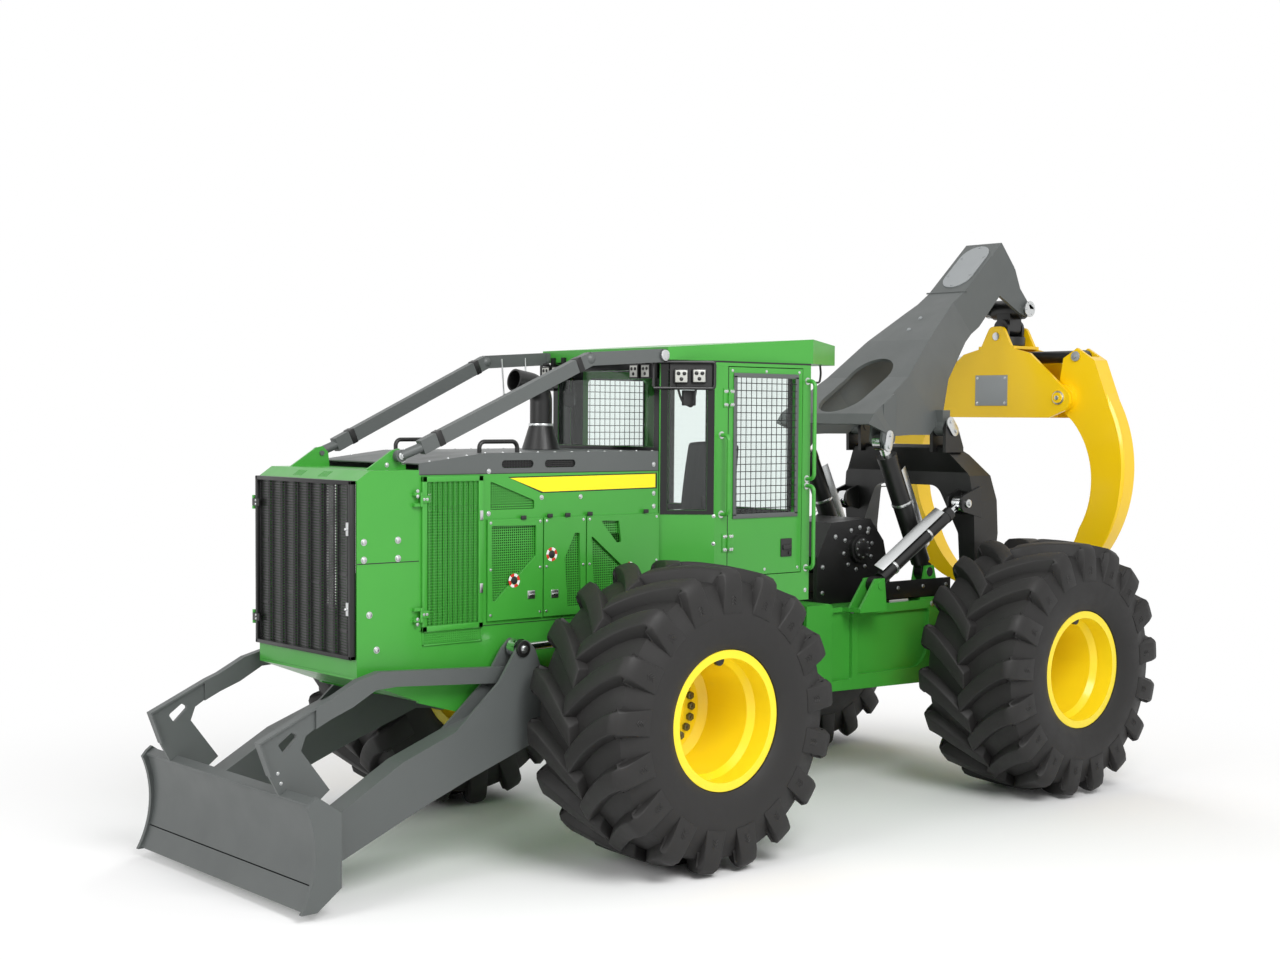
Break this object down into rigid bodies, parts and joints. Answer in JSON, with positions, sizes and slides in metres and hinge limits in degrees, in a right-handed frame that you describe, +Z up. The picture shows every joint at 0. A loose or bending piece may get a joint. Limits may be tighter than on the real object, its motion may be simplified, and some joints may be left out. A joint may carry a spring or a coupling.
{
  "type": "grapple skidder",
  "caption": "Articulated four-wheel forestry skidder with a front blade, guarded cab, and a rear arch and boom carrying a log grapple.",
  "frame": {"origin": "middle of the footprint, on the ground", "axes": "+Z up, -Y the way the machine drives, +X its left side"},
  "size_m": [3.5736, 7.924, 4.3647],
  "materials": {
    "tyre_rubber": "forestry tyre rubber",
    "yellow_paint": "gloss enamel",
    "green_paint": "gloss enamel",
    "grey_paint": "satin enamel",
    "black_paint": "satin enamel",
    "hard_chrome": "polished rod",
    "cab_glass": "tinted sheet",
    "seat_vinyl": "grained vinyl",
    "mount_rubber": "moulded"
  },
  "bodies": {
    "chassis": {"front_frame": "green_paint", "front_axle": "green_paint", "engine": "black_paint", "cowl": "green_paint", "hood_top": "grey_paint", "hood_sides": "green_paint", "service_panels": "green_paint", "air_intake": "black_paint", "hood_rails": "black_paint", "limb_risers": "grey_paint", "cab_mounts": "mount_rubber", "cab_shell": "green_paint", "cab_roof": "green_paint", "cab_glass": "cab_glass", "cab_seat": "seat_vinyl", "cab_console": "black_paint", "work_lights": "black_paint", "steps_and_rails": "green_paint"},
    "rear_chassis": {"rear_frame": "green_paint", "rear_axle": "green_paint", "winch": "black_paint"},
    "arch": {"arch": "black_paint"},
    "boom": {"boom": "grey_paint"},
    "blade": {"blade": "grey_paint", "blade_arms": "grey_paint"},
    "crosshead": {"crosshead": "black_paint"},
    "rotator": {"rotator": "black_paint"},
    "grapple_head": {"grapple_head": "yellow_paint"},
    "left_tong": {"left_tong": "yellow_paint"},
    "right_tong": {"right_tong": "yellow_paint"},
    "grapple_barrel": {"grapple_barrel": "black_paint"},
    "grapple_rod": {"grapple_rod": "hard_chrome"},
    "front_screen": {"front_screen": "black_paint"},
    "link_pin": {"link_pin": "hard_chrome"},
    "blade_barrels": {"blade_barrels": "black_paint"},
    "blade_rods": {"blade_rods": "hard_chrome"},
    "arch_barrels": {"arch_barrels": "black_paint"},
    "arch_rods": {"arch_rods": "hard_chrome"},
    "boom_barrels": {"boom_barrels": "black_paint"},
    "boom_rods": {"boom_rods": "hard_chrome"},
    "boom_pins": {"boom_pins": "hard_chrome"},
    "boom_pistons": {"boom_pistons": "hard_chrome"},
    "left_steering_barrel": {"left_steering_barrel": "black_paint"},
    "left_steering_rod": {"left_steering_rod": "hard_chrome"},
    "left_cab_door": {"left_cab_door": "green_paint", "left_door_glass": "cab_glass"},
    "left_side_screen": {"left_side_screen": "green_paint"},
    "front_left_wheel": {"front_left_tyre": "tyre_rubber", "front_left_rim": "yellow_paint"},
    "rear_left_wheel": {"rear_left_tyre": "tyre_rubber", "rear_left_rim": "yellow_paint"},
    "right_steering_barrel": {"right_steering_barrel": "black_paint"},
    "right_steering_rod": {"right_steering_rod": "hard_chrome"},
    "right_cab_door": {"right_cab_door": "green_paint", "right_door_glass": "cab_glass"},
    "right_side_screen": {"right_side_screen": "green_paint"},
    "front_right_wheel": {"front_right_tyre": "tyre_rubber", "front_right_rim": "yellow_paint"},
    "rear_right_wheel": {"rear_right_tyre": "tyre_rubber", "rear_right_rim": "yellow_paint"}
  },
  "joints": [
    {"name": "steer", "type": "hinge", "parent": "chassis", "child": "rear_chassis", "pos_m": [0, 0.642, 1.1], "axis": [0, 0, 1], "range_deg": [-45, 45]},
    {"name": "front_left_wheel_spin", "type": "hinge", "parent": "chassis", "child": "front_left_wheel", "pos_m": [1.335, -1.258, 0.972], "axis": [1, 0, 0], "continuous": true},
    {"name": "front_right_wheel_spin", "type": "hinge", "parent": "chassis", "child": "front_right_wheel", "pos_m": [-1.335, -1.258, 0.972], "axis": [1, 0, 0], "continuous": true},
    {"name": "rear_left_wheel_spin", "type": "hinge", "parent": "rear_chassis", "child": "rear_left_wheel", "pos_m": [1.335, 2.482, 0.972], "axis": [1, 0, 0], "continuous": true},
    {"name": "rear_right_wheel_spin", "type": "hinge", "parent": "rear_chassis", "child": "rear_right_wheel", "pos_m": [-1.335, 2.482, 0.972], "axis": [1, 0, 0], "continuous": true},
    {"name": "blade_lift", "type": "hinge", "parent": "chassis", "child": "blade", "pos_m": [0, -1.758, 0.9], "axis": [1, 0, 0], "range_deg": [-31, 5.5]},
    {"name": "blade_barrel_swing", "type": "hinge", "parent": "chassis", "child": "blade_barrels", "pos_m": [0, -1.108, 1.42], "axis": [1, 0, 0], "range_deg": [-9.99, 1.77]},
    {"name": "blade_rod_slide", "type": "slide", "parent": "blade_barrels", "child": "blade_rods", "axis": [0, -0.9998, -0.0214], "range_m": [-0.303, 0.0538]},
    {"name": "front_screen_swing", "type": "hinge", "parent": "chassis", "child": "front_screen", "pos_m": [-0.597, -3.2673, 1.95], "axis": [0, 0, -1], "range_deg": [0, 90]},
    {"name": "left_side_screen_swing", "type": "hinge", "parent": "chassis", "child": "left_side_screen", "pos_m": [0.615, -2.788, 2], "axis": [0, 0, -1], "range_deg": [0, 100]},
    {"name": "left_cab_door_swing", "type": "hinge", "parent": "chassis", "child": "left_cab_door", "pos_m": [0.832, -0.395, 2.5], "axis": [0, 0, -1], "range_deg": [0, 90]},
    {"name": "left_steering_barrel_swing", "type": "hinge", "parent": "chassis", "child": "left_steering_barrel", "pos_m": [0.2, 0.042, 1.1], "axis": [0, 0, 1], "range_deg": [-21.21, 21.21]},
    {"name": "left_steering_rod_slide", "type": "slide", "parent": "left_steering_barrel", "child": "left_steering_rod", "axis": [0.0454, 0.999, 0], "range_m": [-0.1788, 0.1788]},
    {"name": "right_side_screen_swing", "type": "hinge", "parent": "chassis", "child": "right_side_screen", "pos_m": [-0.615, -2.788, 2], "axis": [0, 0, 1], "range_deg": [0, 100]},
    {"name": "right_cab_door_swing", "type": "hinge", "parent": "chassis", "child": "right_cab_door", "pos_m": [-0.832, -0.395, 2.5], "axis": [0, 0, 1], "range_deg": [0, 90]},
    {"name": "right_steering_barrel_swing", "type": "hinge", "parent": "chassis", "child": "right_steering_barrel", "pos_m": [-0.2, 0.042, 1.1], "axis": [0, 0, 1], "range_deg": [-21.21, 21.21]},
    {"name": "right_steering_rod_slide", "type": "slide", "parent": "right_steering_barrel", "child": "right_steering_rod", "axis": [-0.0454, 0.999, 0], "range_m": [-0.1788, 0.1788]},
    {"name": "arch_tilt", "type": "hinge", "parent": "rear_chassis", "child": "arch", "pos_m": [0, 2.712, 1.29], "axis": [1, 0, 0], "range_deg": [-45, 5]},
    {"name": "arch_barrel_swing", "type": "hinge", "parent": "rear_chassis", "child": "arch_barrels", "pos_m": [0, 1.362, 1.6], "axis": [1, 0, 0], "range_deg": [-11.7, 1.3]},
    {"name": "arch_rod_slide", "type": "slide", "parent": "arch_barrels", "child": "arch_rods", "axis": [0, 0.8597, 0.5107], "range_m": [-0.0786, 0.7075]},
    {"name": "boom_lift", "type": "hinge", "parent": "arch", "child": "boom", "pos_m": [0, 2.352, 2.808], "axis": [-1, 0, 0], "range_deg": [-2, 60]},
    {"name": "boom_pin_turn", "type": "hinge", "parent": "rear_chassis", "child": "boom_pins", "pos_m": [0, 2.162, 1.65], "axis": [1, 0, 0], "range_deg": [-59.65, 6.63]},
    {"name": "boom_barrel_swing", "type": "hinge", "parent": "boom_pins", "child": "boom_barrels", "pos_m": [0, 2.162, 1.65], "axis": [-1, 0, 0], "range_deg": [-0.57, 16.97]},
    {"name": "boom_piston_slide", "type": "slide", "parent": "boom_barrels", "child": "boom_pistons", "axis": [0, -0.4465, 0.8948], "range_m": [-0.0456, 0.4103]},
    {"name": "boom_rod_slide", "type": "slide", "parent": "boom_pistons", "child": "boom_rods", "axis": [0, -0.4465, 0.8948], "range_m": [-0.0208, 0.624]},
    {"name": "link_pin_turn", "type": "hinge", "parent": "boom", "child": "link_pin", "pos_m": [0, 3.762, 3.82], "axis": [-1, 0, 0], "range_deg": [-45.9, 5.1]},
    {"name": "crosshead_hang", "type": "hinge", "parent": "link_pin", "child": "crosshead", "pos_m": [0, 3.762, 3.82], "axis": [1, 0, 0], "range_deg": [-2.04, 61.2]},
    {"name": "rotator_sway", "type": "hinge", "parent": "crosshead", "child": "rotator", "pos_m": [0, 3.762, 3.66], "axis": [0, 1, 0], "range_deg": [-20, 20]},
    {"name": "grapple_turn", "type": "hinge", "parent": "rotator", "child": "grapple_head", "pos_m": [0, 3.762, 3.51], "axis": [0, 0, 1], "continuous": true},
    {"name": "left_tong_swing", "type": "hinge", "parent": "grapple_head", "child": "left_tong", "pos_m": [0.66, 3.762, 3.053], "axis": [0, -1, 0], "range_deg": [-13, 46]},
    {"name": "right_tong_swing", "type": "hinge", "parent": "grapple_head", "child": "right_tong", "pos_m": [-0.66, 3.762, 3.053], "axis": [0, 1, 0], "range_deg": [-13, 46]},
    {"name": "grapple_barrel_swing", "type": "hinge", "parent": "left_tong", "child": "grapple_barrel", "pos_m": [0.77, 3.762, 3.4], "axis": [0, -1, 0], "range_deg": [-46.92, 13.26]},
    {"name": "grapple_rod_slide", "type": "slide", "parent": "grapple_barrel", "child": "grapple_rod", "axis": [-1, 0, 0], "range_m": [-0.5833, 0.1648]}
  ],
  "couplings": [
    {"joint": "blade_barrel_swing", "follows": "blade_lift", "ratio": 0.3158},
    {"joint": "blade_rod_slide", "follows": "blade_lift", "m_per_rad": 0.5491},
    {"joint": "left_steering_barrel_swing", "follows": "steer", "ratio": 0.462},
    {"joint": "left_steering_rod_slide", "follows": "steer", "m_per_rad": 0.2232},
    {"joint": "right_steering_barrel_swing", "follows": "steer", "ratio": 0.462},
    {"joint": "right_steering_rod_slide", "follows": "steer", "m_per_rad": -0.2232},
    {"joint": "arch_barrel_swing", "follows": "arch_tilt", "ratio": 0.255},
    {"joint": "arch_rod_slide", "follows": "arch_tilt", "m_per_rad": -0.8832},
    {"joint": "boom_pin_turn", "follows": "arch_tilt", "ratio": 1.2996},
    {"joint": "boom_barrel_swing", "follows": "boom_lift", "ratio": 0.2773},
    {"joint": "boom_piston_slide", "follows": "arch_tilt", "m_per_rad": -0.5122},
    {"joint": "boom_rod_slide", "follows": "boom_lift", "m_per_rad": 0.5842},
    {"joint": "link_pin_turn", "follows": "arch_tilt", "ratio": 1},
    {"joint": "crosshead_hang", "follows": "boom_lift", "ratio": 1},
    {"joint": "right_tong_swing", "follows": "left_tong_swing", "ratio": 1},
    {"joint": "grapple_barrel_swing", "follows": "left_tong_swing", "ratio": -1},
    {"joint": "grapple_rod_slide", "follows": "left_tong_swing", "m_per_rad": -0.7123}
  ]
}
